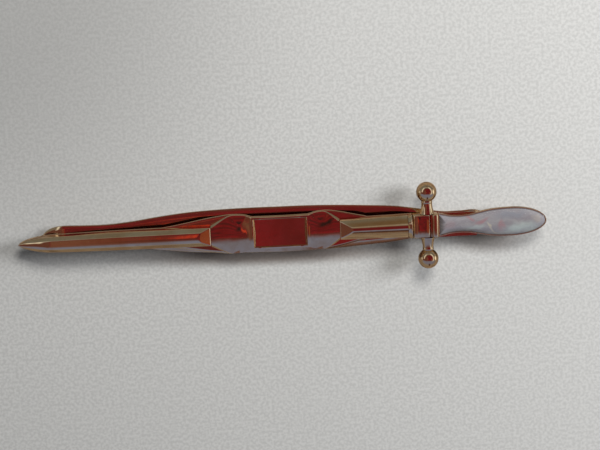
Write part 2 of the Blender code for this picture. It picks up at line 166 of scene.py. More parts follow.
def turned(profile, steps, centre, side=1.0):
    """A profile of (radius, distance along Y) turned about the Y axis through a centre (x, z)."""
    profile = np.asarray(profile, float)
    angle = 2.0 * np.pi * np.arange(steps) / steps
    radius, along = profile[:, :1], profile[:, 1:]
    x = centre[0] + radius * np.cos(angle)
    z = centre[1] + radius * np.sin(angle)
    return np.stack([x, np.broadcast_to(side * along, x.shape), z], -1)


def skin(points, rings_meet=False, ends=(True, True)):
    """A grid of points (ring, place on ring) as a shell: its points, its four-sided faces and the faces that fill
    its end rings. Places run round each ring and meet; rings_meet joins the last ring to the first as well."""
    rings, places = points.shape[:2]
    r = np.arange(rings if rings_meet else rings - 1)[:, None]
    p = np.arange(places)[None, :]
    after, beside = (r + 1) % rings, (p + 1) % places
    here, there = r * places, after * places
    corners = np.broadcast_arrays(here + p, here + beside, there + beside, there + p)
    faces = np.stack(corners, -1).reshape(-1, 4).tolist()
    if not rings_meet and ends[0]:
        faces.append(np.arange(places)[::-1].tolist())
    if not rings_meet and ends[1]:
        faces.append(((rings - 1) * places + np.arange(places)).tolist())
    return points.reshape(-1, 3), faces, bend(points, rings_meet).reshape(-1)


def bend(points, rings_meet):
    """How sharply a surface bends at each point, from -1 in a tight hollow to 1 on a crest: the change of its
    unit normal from neighbour to neighbour along the line between them, over that line's square, at a radius of
    0.12 mm."""

    def step(values, axis, meets):
        if meets:
            return np.roll(values, -1, axis) - np.roll(values, 1, axis)
        return np.gradient(values, axis=axis) * 2.0

    across, along = step(points, 1, True), step(points, 0, rings_meet)
    normal = np.cross(across, along)
    size = np.linalg.norm(normal, axis=-1, keepdims=True)
    outward = np.sign(np.sum(normal * (points - points.mean((0, 1)))))
    normal = outward * normal / np.maximum(size, 1e-12)
    total = 0.0
    for axis, meets, line in ((1, True, across), (0, rings_meet, along)):
        turn = np.sum(step(normal, axis, meets) * line, -1)
        total = total + turn / np.maximum(np.sum(line * line, -1), 1e-6)
    return np.clip(total * 0.12, -1.0, 1.0)


def make_piece(name, shells, body, nodes, material, crease=38.0):
    """One mesh from shells in millimetres: doubles merged, faces outward, soft where it bends gently. It stands
    for the solid parts named, rides on their body and carries how sharply it bends as the attribute "edge"."""
    points = np.concatenate([s[0] for s in shells]) * MM
    starts = np.cumsum([0] + [len(s[0]) for s in shells])
    faces = [[start + i for i in face] for start, s in zip(starts, shells) for face in s[1]]
    mesh = bpy.data.meshes.new(name)
    mesh.from_pydata(points, [], faces)
    edge = mesh.attributes.new("edge", "FLOAT", "POINT")
    edge.data.foreach_set("value", np.concatenate([s[2] for s in shells]).astype(np.float32))
    bm = bmesh.new()
    bm.from_mesh(mesh)
    bmesh.ops.remove_doubles(bm, verts=bm.verts, dist=2e-7)
    bmesh.ops.dissolve_degenerate(bm, edges=bm.edges, dist=1e-7)
    bmesh.ops.recalc_face_normals(bm, faces=bm.faces)
    bm.to_mesh(mesh)
    bm.free()
    mesh.shade_smooth()
    mesh.set_sharp_from_angle(angle=math.radians(crease))
    piece = bpy.data.objects.new(name, mesh)
    bpy.context.scene.collection.objects.link(piece)
    mesh.materials.append(material)
    even = piece.modifiers.new("Even shading", "WEIGHTED_NORMAL")
    even.keep_sharp = True
    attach(piece, body)
    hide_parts(*nodes)
    return piece


# ---------------------------------------------------------------- outlines shared by several pieces


def blade_half_width(x):
    """The blade: a slow taper, drawn in to a point at its tip."""
    reach = np.maximum(x - FULL_LOW[0] / MM, 0.0)
    width = 1.37 - 0.36 * np.exp(-reach / 9.0)
    inward = 1.0 - np.clip(reach / POINT_LENGTH, 0.0, 1.0)
    return width * np.maximum(1.0 - inward**2, 0.0) ** 0.62


def flare_half_width(x):
    """The waistband: it swells from the blade to both ends of the recessed panel and stays straight beside it."""
    left = [(FLARE_START, 1.38), (-15.5, 1.66), (-13.5, 2.0), (-10.0, 2.58), (-6.8, 2.87), (-5.2, 2.72)]
    middle = [(-4.3, 2.44), (-3.6, 2.42), (3.1, 2.42)]
    right = [(3.8, 2.44), (4.8, 2.72), (6.2, 2.84), (8.6, 2.52), (10.4, 2.1), (FLARE_END, 1.7)]
    return drawn_through(left + middle + right, x)


def rear_half_width(x):
    """The short bar: it widens a little towards the guard."""
    start, end = REAR_LOW[0], REAR_HIGH[0]
    return 1.5 + 0.14 * np.clip((x - start) / (end - start), 0, 1)


def plate_half_width(x):
    """The front plate: a narrow rim outside the bars, and the flare's own width where that is more."""
    bars = np.where(x < 0.0, blade_half_width(x), rear_half_width(x))
    flare = np.where((x > FLARE_START) & (x < FLARE_END), flare_half_width(x), 0.0)
    return np.maximum(bars + 0.08, flare)


def grip_half_width(x):
    """The grip: waisted, widest before its elliptical end, with small round corners at the guard."""
    low, high = TRAY_LOW[0], TRAY_HIGH[0]
    waist = [(low, 1.74), (23.2, 1.56), (24.1, 1.36), (25.0, 1.28), (25.9, 1.27), (26.8, 1.33)]
    swell = [(28.2, 1.6), (29.8, 1.9), (31.2, 2.03), (POMMEL_START, 2.08)]
    straight = drawn_through(waist + swell, x)
    pommel = 2.08 * np.sqrt(np.clip(1.0 - ((x - POMMEL_START) / (high - POMMEL_START)) ** 2, 0.0, 1.0))
    corner = np.sqrt(np.clip(1.0 - (1.0 - np.clip((x - low) / 0.12, 0.0, 1.0)) ** 2, 0.0, 1.0))
    return np.where(x > POMMEL_START, pommel, straight) * (0.9 + 0.1 * corner)


def grip_outline(inset, count=240):
    """The grip seen from above, from one corner round the pommel to the other, moved in by inset along its
    normal."""
    low, high = TRAY_LOW[0], TRAY_HIGH[0]
    share = 0.5 - 0.5 * np.cos(np.pi * np.linspace(0.0, 1.0, count // 2))
    x = low + (high - low) * share
    half = grip_half_width(x)
    outline = np.concatenate([np.stack([x, half], -1), np.stack([x, -half], -1)[::-1][1:]])
    along = np.roll(outline, -1, 0) - np.roll(outline, 1, 0)
    normal = np.stack([-along[:, 1], along[:, 0]], -1)
    normal /= np.maximum(np.linalg.norm(normal, axis=-1, keepdims=True), 1e-9)
    return outline - inset * normal


# ---------------------------------------------------------------- finishes


def put(tree, kind, inputs=(), **settings):
    """Add a shader node, set its options, and link or fill its inputs."""
    made = tree.nodes.new(kind)
    for key, value in settings.items():
        setattr(made, key, value)
    for key, value in dict(inputs).items():
        if isinstance(value, bpy.types.NodeSocket):
            tree.links.new(value, made.inputs[key])
        else:
            made.inputs[key].default_value = value
    return made


def mixed(tree, share, a, b, strength=1.0):
    """The colour share of the way from a to b, with the share weakened by strength."""
    if strength != 1.0:
        share = worked(tree, "MULTIPLY", share, strength)
    return put(tree, "ShaderNodeMix", {0: share, 6: a, 7: b}, data_type="RGBA").outputs[2]


def ranged(tree, value, low, high, to_low=0.0, to_high=1.0):
    """A number taken from one range to another, and held inside it."""
    inputs = {"Value": value, "From Min": low, "From Max": high, "To Min": to_low, "To Max": to_high}
    return put(tree, "ShaderNodeMapRange", inputs, interpolation_type="SMOOTHSTEP").outputs[0]


def worked(tree, operation, *values):
    """One step of arithmetic on one to three numbers."""
    return put(tree, "ShaderNodeMath", dict(enumerate(values)), operation=operation).outputs[0]


def noise(tree, place, size, detail=3.0, roughness=0.55, distortion=0.0):
    """Cloudy noise whose features are about size millimetres across."""
    inputs = {"Vector": place, "Scale": 1.0 / size, "Detail": detail, "Roughness": roughness}
    inputs["Distortion"] = distortion
    return put(tree, "ShaderNodeTexNoise", inputs).outputs["Fac"]


def mapped(tree, place, scale=(1.0, 1.0, 1.0), turn=0.0, shift=(0.0, 0.0, 0.0)):
    """A place scaled, turned about Z in degrees and shifted."""
    inputs = {"Vector": place, "Location": shift, "Rotation": (0.0, 0.0, math.radians(turn)), "Scale": scale}
    return put(tree, "ShaderNodeMapping", inputs).outputs[0]


def in_millimetres(tree, turn=0.0, stretch=(1.0, 1.0, 1.0)):
    """Object coordinates in millimetres, turned about Z in degrees and stretched."""
    place = put(tree, "ShaderNodeTexCoord").outputs["Object"]
    return mapped(tree, mapped(tree, place, turn=turn), tuple(1.0 / MM / s for s in stretch))


def bumped(tree, shader, height, distance, strength=1.0):
    """Raise the shader's surface by a height pattern, whose full step is distance metres."""
    bump = put(tree, "ShaderNodeBump", {"Strength": strength, "Distance": distance, "Height": height})
    tree.links.new(bump.outputs[0], shader.inputs["Normal"])


def hairlines(tree, turn, width, length, share):
    """Fine straight scratches, 0 or 1: noise drawn out along one direction, cut where it is highest."""
    place = in_millimetres(tree, turn, (length, width, width))
    return ranged(tree, noise(tree, place, 1.0, detail=2.0), 1.0 - share, 1.0 - share + 0.06)


def start_material(name):
    """An empty node material with its tree, its shader and the piece's edge attribute as crest and hollow."""
    material = bpy.data.materials.new(name)
    material.use_nodes = True
    tree = material.node_tree
    tree.nodes.clear()
    shader = put(tree, "ShaderNodeBsdfPrincipled")
    output = put(tree, "ShaderNodeOutputMaterial")
    tree.links.new(shader.outputs[0], output.inputs["Surface"])
    edge = put(tree, "ShaderNodeAttribute", attribute_name="edge").outputs["Fac"]
    crest = ranged(tree, edge, 0.12, 0.8)
    hollow = ranged(tree, worked(tree, "MULTIPLY", edge, -1.0), 0.1, 0.8)
    return material, tree, shader, crest, hollow


def gold_finish(name, colours, polish, scratched, unevenness, painted_shade_below=False):
    """Gold-tone plate: two tones in soft clouds, hollows darkened by a film of tarnish and by painted shade, paler
    rubbed crests, hairline scratches in two directions and the faint waviness of a stamping. With its last
    argument set, the side that faces down is painted dark brown as shade under the piece and left rougher."""
    material, tree, shader, crest, hollow = start_material(name)
    (red, green, blue), deep = tuple(colours.gold), tuple(colours.deep_gold)
    place = in_millimetres(tree)
    cloud = noise(tree, place, 3.2, detail=4.0)
    film = ranged(tree, noise(tree, place, 0.9, detail=5.0, roughness=0.65), 0.48, 0.72)
    tone = mixed(tree, ranged(tree, cloud, 0.35, 0.7), (red, green, blue, 1.0), (*deep, 1.0))
    tone = mixed(tree, film, tone, (deep[0] * 0.72, deep[1] * 0.62, deep[2] * 0.5, 1.0), 0.22)
    # Hollows darker: partly a tarnish film, partly painted shade.
    tone = mixed(tree, hollow, tone, (deep[0] * 0.5, deep[1] * 0.4, deep[2] * 0.3, 1.0), 0.55)
    tone = mixed(tree, crest, tone, (min(red * 1.12, 1.0), min(green * 1.2, 1.0), blue * 1.45, 1.0), 0.45)
    long_lines, short_lines = hairlines(tree, 7.0, 0.035, 5.0, 0.33), hairlines(tree, -34.0, 0.03, 3.0, 0.3)
    lines = worked(tree, "MAXIMUM", long_lines, short_lines)
    rough = worked(tree, "MULTIPLY_ADD", film, 0.05, polish)
    rough = worked(tree, "MULTIPLY_ADD", lines, 0.12 * scratched, rough)
    rough = worked(tree, "MULTIPLY_ADD", crest, 0.05, rough)
    # Painted shade: the side facing down darkens to dark brown, and is made rougher.
    if painted_shade_below:
        normal = put(tree, "ShaderNodeTexCoord").outputs["Normal"]
        facing = put(tree, "ShaderNodeSeparateXYZ", {0: normal}).outputs[2]
        below = ranged(tree, facing, -0.7, -0.3, 1.0, 0.0)
        tone = mixed(tree, below, tone, (0.09, 0.035, 0.03, 1.0))
        rough = worked(tree, "MULTIPLY_ADD", below, 0.4, rough)
    tree.links.new(tone, shader.inputs["Base Color"])
    tree.links.new(rough, shader.inputs["Roughness"])
    wave, cut = noise(tree, place, 2.2, detail=1.0), worked(tree, "MULTIPLY", lines, -0.5 * scratched)
    height = worked(tree, "MULTIPLY_ADD", wave, 8.0 * unevenness, cut)
    height = worked(tree, "MULTIPLY_ADD", noise(tree, place, 0.5, detail=2.0), 1.0 * unevenness, height)
    bumped(tree, shader, height, 1e-6)
    shader.inputs["Metallic"].default_value = 1.0
    return material


def steel_finish(name, colour):
    """Drawn spring wire and pin stock: fine rings of tone and roughness, with hollows made darker."""
    material, tree, shader, crest, hollow = start_material(name)
    place = in_millimetres(tree)
    ring = noise(tree, in_millimetres(tree, 0.0, (0.05, 0.4, 0.05)), 1.0, detail=3.0)
    cloud = noise(tree, place, 1.2, detail=4.0)
    tone = mixed(tree, cloud, (*colour, 1.0), (colour[0] * 0.7, colour[1] * 0.66, colour[2] * 0.6, 1.0))
    tone = mixed(tree, hollow, tone, (0.12, 0.1, 0.08, 1.0), 0.6)
    tone = mixed(tree, crest, tone, (0.8, 0.79, 0.77, 1.0), 0.3)
    tree.links.new(tone, shader.inputs["Base Color"])
    tree.links.new(ranged(tree, ring, 0.3, 0.7, 0.22, 0.42), shader.inputs["Roughness"])
    bumped(tree, shader, ring, 2e-6)
    shader.inputs["Metallic"].default_value = 1.0
    return material


def spot(tree, place, centre, size, turn=0.0):
    """A soft-edged patch, 1 at its centre and 0 outside an ellipse of the given half sizes, in millimetres."""
    moved = put(tree, "ShaderNodeVectorMath", {0: place, 1: (*centre, 0.0)}, operation="SUBTRACT").outputs[0]
    sides = {0: mapped(tree, moved, turn=-turn), 1: (1.0 / size[0], 1.0 / size[1], 0.0)}
    flat = put(tree, "ShaderNodeVectorMath", sides, operation="MULTIPLY").outputs[0]
    reach = put(tree, "ShaderNodeVectorMath", {0: flat}, operation="LENGTH").outputs["Value"]
    return ranged(tree, reach, 0.25, 1.0, 1.0, 0.0)


def pearl_finish(name, colours):
    """Mother-of-pearl: a grey-lilac body crossed by wavy growth layers, with soft patches of rose, sea green, cream
    and blue that come and go with the layers, under a polished surface."""
    material, tree, shader, crest, hollow = start_material(name)
    place = in_millimetres(tree)
    sway = put(tree, "ShaderNodeTexNoise", {"Vector": place, "Scale": 0.55, "Detail": 2.0}).outputs["Color"]
    sway = put(tree, "ShaderNodeVectorMath", {0: sway, 1: (0.5, 0.5, 0.5)}, operation="SUBTRACT").outputs[0]
    drift = put(tree, "ShaderNodeVectorMath", {0: sway, "Scale": 1.6}, operation="SCALE").outputs[0]
    swayed = put(tree, "ShaderNodeVectorMath", {0: place, 1: drift}, operation="ADD").outputs[0]
    growth = mapped(tree, swayed, (0.28, 1.1, 1.0), 38.0)
    layers = noise(tree, growth, 1.0, detail=5.0, roughness=0.6, distortion=0.6)
    fine = noise(tree, mapped(tree, swayed, (0.7, 4.5, 1.0), 30.0), 1.0, detail=4.0)
    body, pale, rose, green, cream, blue = [(*c, 1.0) for c in colours]
    tone = mixed(tree, ranged(tree, layers, 0.3, 0.75), body, pale)
    for colour, centre, size, turn, strength in (
        (rose, (26.9, 0.75), (1.1, 0.35), -20.0, 0.7),
        (rose, (28.6, 0.35), (1.5, 0.5), 22.0, 0.75),
        (rose, (31.4, -0.35), (0.5, 1.1), 8.0, 0.7),
        (rose, (24.0, -0.2), (1.2, 0.9), 30.0, 0.25),
        (green, (34.2, -0.95), (3.6, 1.15), 4.0, 0.75),
        (green, (27.8, -0.55), (1.6, 0.5), 0.0, 0.5),
        (cream, (30.2, -0.75), (1.5, 0.22), -52.0, 0.8),
        (blue, (33.0, 1.0), (3.4, 0.9), 4.0, 0.6),
        (cream, (36.6, 0.4), (0.8, 0.9), 0.0, 0.35),
    ):
        share = worked(tree, "MULTIPLY", spot(tree, swayed, centre, size, turn), strength)
        share = worked(tree, "MULTIPLY", share, ranged(tree, layers, 0.25, 0.55, 0.55, 1.0))
        tone = mixed(tree, share, tone, colour)
    tone = mixed(tree, ranged(tree, fine, 0.42, 0.72, 0.0, 0.28), tone, body)
    tone = mixed(tree, hollow, tone, (0.16, 0.13, 0.12, 1.0), 0.4)
    tone = mixed(tree, crest, tone, pale, 0.25)
    tree.links.new(tone, shader.inputs["Base Color"])
    tree.links.new(ranged(tree, fine, 0.3, 0.7, 0.2, 0.32), shader.inputs["Roughness"])
    scratches = worked(tree, "MULTIPLY", hairlines(tree, 22.0, 0.04, 2.0, 0.3), -0.4)
    bumped(tree, shader, worked(tree, "MULTIPLY_ADD", layers, 3.0, scratches), 1e-6)
    shader.inputs["IOR"].default_value = 1.55
    shader.inputs["Coat Weight"].default_value = 0.35
    shader.inputs["Coat Roughness"].default_value = 0.08
    shader.inputs["Sheen Weight"].default_value = 0.05
    return material


# ---------------------------------------------------------------- sizes and colours a user would change


class TieClipSizes(bpy.types.PropertyGroup):
    """Sizes a user would change"""

    edge_rounding: FloatProperty(
        name="Edge rounding", description="Radius worn on the edges of the bars and the guard",
        default=0.00006, min=0.00001, max=0.0003, precision=5, unit="LENGTH", subtype="DISTANCE")
    blade_crown: FloatProperty(
        name="Blade crown", description="How far the blade's top falls from its middle to its shoulders",
        default=0.000075, min=0.0, max=0.0004, precision=6, unit="LENGTH", subtype="DISTANCE")
    rear_crown: FloatProperty(
        name="Short bar crown", description="How far the short bar's narrow top falls to its wide bevels",
        default=0.00005, min=0.0, max=0.0006, precision=5, unit="LENGTH", subtype="DISTANCE")
    panel_dome: FloatProperty(
        name="Guard dome", description="How far the guard's panel falls from its middle to its sides",
        default=0.00022, min=0.0, max=0.0004, precision=5, unit="LENGTH", subtype="DISTANCE")
    recess_depth: FloatProperty(
        name="Recess depth", description="Depth of the sunk panel below the ridges at its ends",
        default=0.00062, min=0.0002, max=0.0007, precision=5, unit="LENGTH", subtype="DISTANCE")
    bezel: FloatProperty(
        name="Bezel width", description="Width of the gold rim round the inlay",
        default=0.0002, min=0.0001, max=0.0004, precision=5, unit="LENGTH", subtype="DISTANCE")


class TieClipColours(bpy.types.PropertyGroup):
    """Colours a user would change"""

    gold: FloatVectorProperty(
        name="Gold", description="Polished plating", subtype="COLOR", size=3, min=0, max=1,
        default=(0.82, 0.65, 0.42))
    deep_gold: FloatVectorProperty(
        name="Deep gold", description="The redder tone the plating drifts to", subtype="COLOR", size=3, min=0,
        max=1, default=(0.75, 0.53, 0.31))
    steel: FloatVectorProperty(
        name="Steel", description="Pin and spring wire", subtype="COLOR", size=3, min=0, max=1,
        default=(0.58, 0.57, 0.55))
    pearl: FloatVectorProperty(
        name="Pearl", description="The inlay's grey-lilac body", subtype="COLOR", size=3, min=0, max=1,
        default=(0.205, 0.19, 0.205))
    table: FloatVectorProperty(
        name="Table", description="The plain floor", subtype="COLOR", size=3, min=0, max=1,
        default=(0.60, 0.595, 0.575))


def polished(context):
    """The plating used on everything on the face, made once."""
    made = bpy.data.materials.get("Polished gold")
    return made or gold_finish("Polished gold", context.scene.tie_clip_colours, 0.07, 1.0, 1.0)


def steel(context):
    """The steel of the pin and the spring, made once."""
    made = bpy.data.materials.get("Drawn steel")
    return made or steel_finish("Drawn steel", tuple(context.scene.tie_clip_colours.steel))


# ---------------------------------------------------------------- pieces


def bar_sections(half, height, base, lid, crown, rounding, level=0.70, flat=0.52, ease_over=0.03, bulge=0.0):
    """Sections of a bevelled bar: upright flanks, chamfers and a shallow parabolic crown, all under a lid height
    that slopes down at a hipped end. The top is the lowest of chamfer, crown and lid, whose crossing is eased over
    ease_over; each flank meets it in an arc. level is the rim's share of the height, flat the crown's share of the
    width, and bulge swells the chamfers by a parabola."""
    half, height, lid = half[:, None], height[:, None], lid[:, None]
    drop = crown * height / height.max()
    shoulder, edge = flat * half, 0.97 * half
    rim = level * height

    def top(y):
        reach = np.abs(y)
        share = np.clip((edge - reach) / (edge - shoulder), 0.0, 1.0)
        chamfer = rim + (edge - reach) * (height - drop - rim) / (edge - shoulder)
        chamfer = chamfer + bulge * share * (1.0 - share)
        crest = height - drop * (y / shoulder) ** 2
        return lower_of(lower_of(chamfer, crest, ease_over), lid, 0.03)

    inner = edge - rounding
    across = inner * np.linspace(1.0, -1.0, 49)
    start = np.concatenate([edge, np.minimum(rim, lid) - rounding], -1)[:, None]
    corner = np.concatenate([edge, np.minimum(rim, top(edge) + 0.01)], -1)[:, None]
    end = np.stack([inner, top(inner)], -1)
    t = np.linspace(0.0, 1.0, 5)[:-1, None]
    arc = start * (1 - t) ** 2 + corner * 2 * t * (1 - t) + end * t**2
    foot = np.concatenate([half, np.zeros_like(half)], -1)[:, None]
    flank = foot + (start - foot) * np.array([0.0, 0.5])[:, None]
    left = np.concatenate([flank, arc], 1)
    right = left[:, ::-1] * np.array([-1.0, 1.0])
    sections = np.concatenate([left, np.stack([across, top(across)], -1), right], 1)
    return sections + np.array([0.0, base])


def worn_end(xs, sections, at_high):
    """Sections that draw in as a quarter circle does at one end, so that the end's edges catch light."""
    reach = np.clip(1.0 - np.abs(xs - xs[-1 if at_high else 0]) / WORN, 0.0, 1.0)
    inset = WORN * (1.0 - np.sqrt(np.clip(1.0 - reach**2, 0.0, 1.0)))[:, None]
    y, z = sections[..., 0], sections[..., 1]
    half = np.abs(y).max(-1, keepdims=True)
    raised = ease((z - z.min(-1, keepdims=True)) / 0.3)
    return np.stack([y * (1.0 - inset / half), z - inset * raised], -1)


class TIECLIP_OT_blade(bpy.types.Operator):
    """Build the long blade bar from its tip to its hipped end"""

    bl_idname = "tieclip.blade"
    bl_label = "Blade bar"

    def execute(self, context):
        sizes = context.scene.tie_clip_sizes
        end, hip = BLADE_HIGH[0], BLADE_HIGH[0] - 1.6
        xs = np.concatenate([
            TIP + POINT_LENGTH * np.linspace(0, 1, 40) ** 1.7,
            np.linspace(TIP + POINT_LENGTH + 0.2, hip - 0.1, 90),
            np.linspace(hip, end - 0.1, 30), end - WORN + WORN * np.sin(np.linspace(0.0, np.pi / 2, 7))])
        tall = BLADE_HIGH[2] - BLADE_LOW[2]
        height = tall * (0.4 + 0.6 * ease((xs - FULL_LOW[0] / MM) / POINT_LENGTH))
        rim = 0.70 * tall
        lid = np.where(xs > hip - 0.5, rim + 0.02 + (end - xs) * (tall - rim) / (end - hip), tall + 1.0)
        crown, rounding = sizes.blade_crown / MM, sizes.edge_rounding / MM
        sections = bar_sections(blade_half_width(xs), height, BLADE_LOW[2], lid, crown, rounding)
        shell = skin(carried_along(xs, worn_end(xs, sections, True)))
        make_piece("blade", [shell], "sword", ["blade_bar"], polished(context))
        return {"FINISHED"}


class TIECLIP_OT_short_bar(bpy.types.Operator):
    """Build the short bar between the sunk panel and the guard, hipped at its left end"""

    bl_idname = "tieclip.short_bar"
    bl_label = "Short bar"

    def execute(self, context):
        sizes = context.scene.tie_clip_sizes
        start, end = REAR_LOW[0], REAR_HIGH[0]
        hip = start + 1.75
        xs = np.concatenate([
            start + WORN - WORN * np.cos(np.linspace(0.0, np.pi / 2, 7)), np.linspace(start + 0.1, hip, 34),
            np.linspace(hip + 0.1, end, 50)])
        tall = REAR_HIGH[2] - REAR_LOW[2]
        low_end = 0.52 * tall
        lid = np.where(xs < hip + 0.5, low_end + (xs - start) * (tall - low_end) / (hip - start), tall + 1.0)
        crown, rounding = sizes.rear_crown / MM, sizes.edge_rounding / MM
        sections = bar_sections(
            rear_half_width(xs), np.full_like(xs, tall), REAR_LOW[2], lid, crown, rounding,
            level=0.40, flat=0.2, ease_over=0.07, bulge=0.28)
        shell = skin(carried_along(xs, worn_end(xs, sections, False)))
        make_piece("short_bar", [shell], "sword", ["rear_bar"], polished(context))
        return {"FINISHED"}


class TIECLIP_OT_plate(bpy.types.Operator):
    """Build the flat front plate whose rim shows round the bars and the flare"""

    bl_idname = "tieclip.plate"
    bl_label = "Front plate"

    def execute(self, context):
        low, high = PLATE_LOW, PLATE_HIGH
        xs = np.concatenate([
            low[0] + POINT_LENGTH * np.linspace(0.0, 1.0, 36) ** 1.7,
            np.linspace(low[0] + POINT_LENGTH + 0.2, high[0], 300)])
        half = np.maximum(plate_half_width(xs), 0.12)
        one = np.ones_like(half)
        bevel = np.minimum(0.3, 0.4 * half)
        brow, top = high[2] - 0.45 * bevel, high[2] * one
        foot = low[2] * one
        corners = np.stack([
            np.stack([half, foot], -1), np.stack([half, brow], -1), np.stack([half - bevel, top], -1),
            np.stack([bevel - half, top], -1), np.stack([-half, brow], -1), np.stack([-half, foot], -1)], 1)
        shell = skin(carried_along(xs, rounded(corners, [0.05, 0.06, 0.06, 0.06, 0.06, 0.05], 5)))
        # The plate's finish paints its downward side dark brown as shade.
        plate_gold_with_painted_shade = gold_finish("Plate gold", context.scene.tie_clip_colours, 0.08, 1.0, 1.0, painted_shade_below=True)
        make_piece("plate", [shell], "sword", ["front_plate"], plate_gold_with_painted_shade)
        return {"FINISHED"}


class TIECLIP_OT_sunk_panel(bpy.types.Operator):
    """Build the stamped centre: two saddles with a sunk panel between them"""

    bl_idname = "tieclip.sunk_panel"
    bl_label = "Saddles and sunk panel"

    def execute(self, context):
        depth = context.scene.tie_clip_sizes.recess_depth / MM
        low, high = MOUNT_LOW, MOUNT_HIGH
        left, right, ridge = RECESS_START, RECESS_END, 0.8
        xs = np.concatenate([
            np.linspace(low[0], left - 1.0, 60), np.linspace(left - 0.95, left + 1.2, 60),
            np.linspace(left + 1.3, right - 1.3, 30), np.linspace(right - 1.2, right + 0.95, 60),
            np.linspace(right + 1.0, high[0], 50)])
        taper = np.minimum(ease((xs - low[0]) / 3.4 + 0.04), ease((high[0] - xs) / 2.6 + 0.04))
        half = 1.46 + (flare_half_width(xs) - 0.08 - 1.46) * np.sqrt(taper)
        slope = 0.34 * (1.0 - taper) + 0.03
        share = np.concatenate([
            np.linspace(1.0, 0.90, 5), np.linspace(0.895, 0.80, 22), np.linspace(0.79, -0.79, 45),
            np.linspace(-0.80, -0.895, 22), np.linspace(-0.90, -1.0, 5)])
        inner = half - slope
        x, y = np.broadcast_arrays(xs[:, None], inner[:, None] * share)

        def surface(x, y):
            """A ridge at each end of the recess and a valley outside it that climbs or falls away as a circle does,
            crowned across and rolled under at one side; inside, a floor with sloped end walls and steep sides. The
            lower of the two stands."""
            reach = np.maximum(np.maximum(left - x, x - right), 0.0)
            climb = np.where(x < 0.0, 0.022, -0.012)
            valley = ridge - 0.04 * ease(reach) + climb * np.maximum(reach - 1.3, 0.0) ** 2
            crest = 0.07 * np.exp(-((reach - 0.05) / 0.22) ** 2)
            roll = 0.05 * np.exp(-((reach - 1.9) / 1.1) ** 2) * ((y + 0.7) / 1.4) ** 2
            saddle = valley + crest - y * y / 16.0 - np.minimum(roll, 0.12)
            end_wall = np.maximum(left + 0.3 - x, x - right + 0.3) * 3.0 - y * y / 16.0
            side_wall = (np.abs(y) - 2.0) * 5.0
            floor = ridge - depth + 0.0048 * (x + 0.2) ** 2
            sunk = floor + higher_of(higher_of(end_wall, side_wall, 0.05), 0.0 * x, 0.06)
            return lower_of(saddle, sunk, 0.05)

        top = low[2] + surface(x, y)
        wall, brink, tilt = half[:, None], inner[:, None], slope[:, None]
        edge_height = low[2] + surface(xs[:, None], brink)
        foot = np.stack([wall, low[2] + 0.0 * wall], -1)
        fall = np.minimum(edge_height - low[2] - 0.06, 0.82 * tilt + 0.02)
        flank = [
            np.stack([brink + tilt * s, edge_height - fall * s**power], -1)
            for s, power in ((1.0, 1.0), (0.5, 1.0), (0.14, 1.15))]
        left_side = np.concatenate([foot] + flank, 1)
        right_side = left_side[:, ::-1] * np.array([-1.0, 1.0])
        sections = np.concatenate([left_side, np.stack([y, top], -1), right_side], 1)
        shell = skin(carried_along(xs, sections))
        make_piece("saddles", [shell], "sword", ["centre_mount"], polished(context))
        return {"FINISHED"}


class TIECLIP_OT_collar(bpy.types.Operator):
    """Build the half-round band at the end of the short bar"""

    bl_idname = "tieclip.collar"
    bl_label = "Collar"

    def execute(self, context):
        low, high = COLLAR_LOW, COLLAR_HIGH
        width, tall = high[1], high[2] - low[2]
        turn = np.linspace(0.0, np.pi, 25)
        xs = low[0] + (high[0] - low[0]) * (0.5 - 0.5 * np.cos(turn))
        shape = np.array([
            (width, 0.0), (width, tall * 0.66), (width * 0.55, tall * 0.95), (0.0, tall),
            (-width * 0.55, tall * 0.95), (-width, tall * 0.66), (-width, 0.0)])
        section = rounded(shape, [0.04, 0.2, 0.4, 0.9, 0.4, 0.2, 0.04], 7)
        share = (xs - low[0]) / (high[0] - low[0])
        ramp = lower_of(0.86 + 0.19 * share, 1.0 + 0.0 * share, 0.01)
        swell = lower_of(ramp, 0.86 + 0.9 * (1.0 - share), 0.02)[:, None, None]
        shell = skin(carried_along(xs, section[None] * swell + np.array([0.0, low[2]])))
        make_piece("collar_band", [shell], "sword", ["collar"], polished(context))
        return {"FINISHED"}


